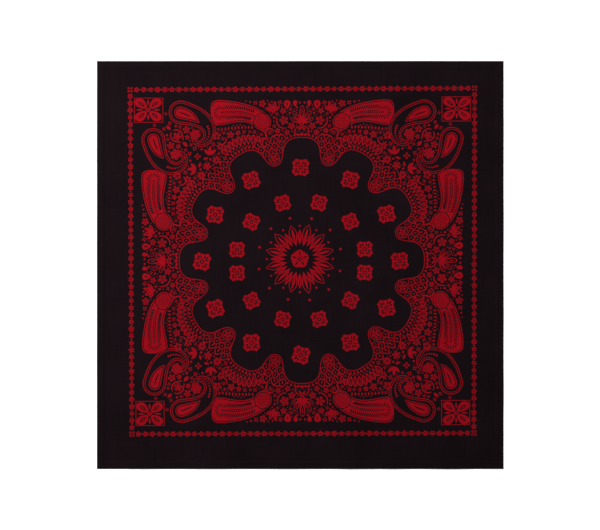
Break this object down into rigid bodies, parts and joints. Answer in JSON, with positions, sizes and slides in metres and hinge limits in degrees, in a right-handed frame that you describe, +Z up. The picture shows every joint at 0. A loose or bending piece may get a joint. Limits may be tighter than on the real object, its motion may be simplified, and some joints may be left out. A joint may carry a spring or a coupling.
{
  "type": "bandana laid flat",
  "caption": "Square cotton bandana laid flat face up, one printed panel with its four edges turned under and hemmed.",
  "frame": {"origin": "middle of the underside, on the surface that the cloth lies on", "axes": "+Z up out of the printed face, +X along the width, +Y along the length towards the top edge in the picture"},
  "size_m": [0.559, 0.561, 0.0039],
  "materials": {
    "printed_cotton": "near-black plain-weave cotton, matt, printed in red",
    "hem_cotton": "near-black plain-weave cotton, matt, wrong side out",
    "thread": "black spun polyester sewing thread, slight sheen"
  },
  "bodies": {
    "root": {"panel": "printed_cotton", "hem_left": "hem_cotton", "hem_right": "hem_cotton", "hem_top": "hem_cotton", "hem_bottom": "hem_cotton"}
  },
  "joints": []
}
